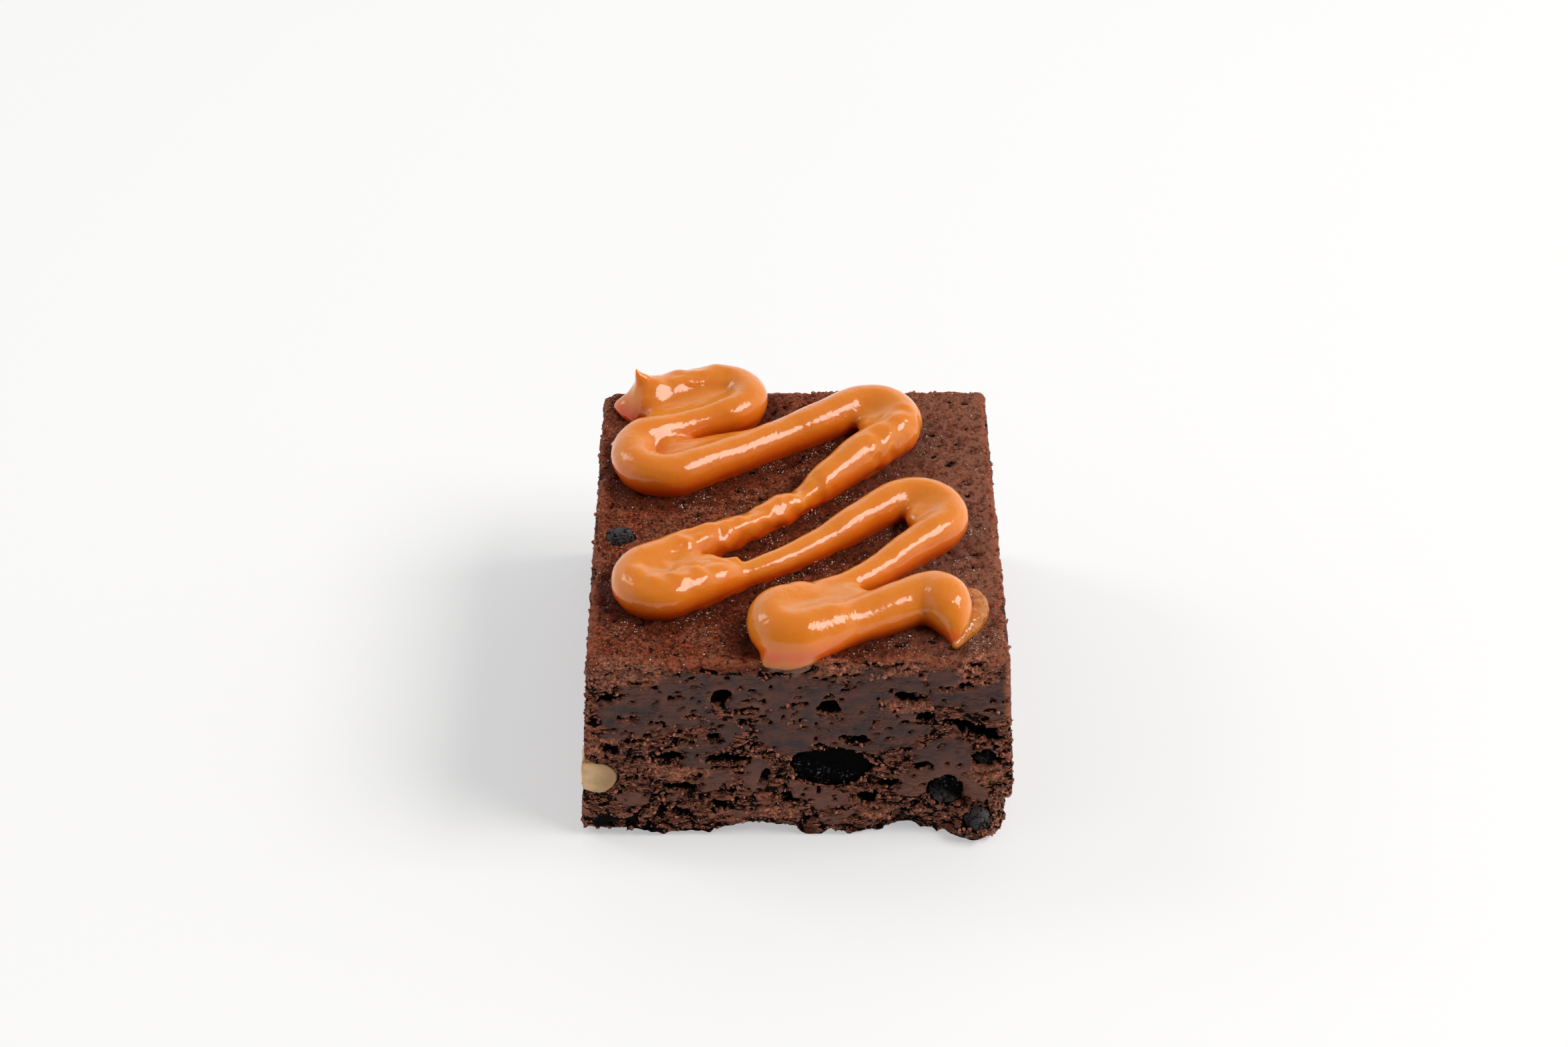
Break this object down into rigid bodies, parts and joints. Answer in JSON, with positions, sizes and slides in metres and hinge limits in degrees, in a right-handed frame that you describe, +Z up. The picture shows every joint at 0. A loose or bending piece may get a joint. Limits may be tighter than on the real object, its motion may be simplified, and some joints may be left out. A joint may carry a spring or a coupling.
{
  "type": "mini brownie",
  "caption": "Square-cut mini brownie with a crumbly cut side, chocolate chips, a nut piece and a thick caramel zigzag on top.",
  "frame": {"origin": "middle of the flat base on which the brownie stands", "axes": "+Z up, +Y from the front cut face to the back, +X to the right as seen from the front"},
  "size_m": [0.0474, 0.0522, 0.0301],
  "materials": {
    "crumb": "dark brown crumb, dry and rough with pits and tears, smeared smooth where it was cut",
    "caramel": "thick glossy caramel, slightly translucent, paler on the rounded tops",
    "chocolate": "near-black chocolate chip, cut through, satin with a few glints",
    "nut": "cream nut meat, smooth and waxy"
  },
  "bodies": {
    "root": {"brownie": "crumb", "chip_centre": "chocolate", "chip_right": "chocolate", "chip_small": "chocolate", "chip_corner": "chocolate", "chip_top": "chocolate", "chip_back": "chocolate", "chip_back_small": "chocolate", "chip_left": "chocolate", "chip_left_small": "chocolate", "chip_side": "chocolate", "chip_side_small": "chocolate", "nut_piece": "nut"}
  },
  "joints": []
}
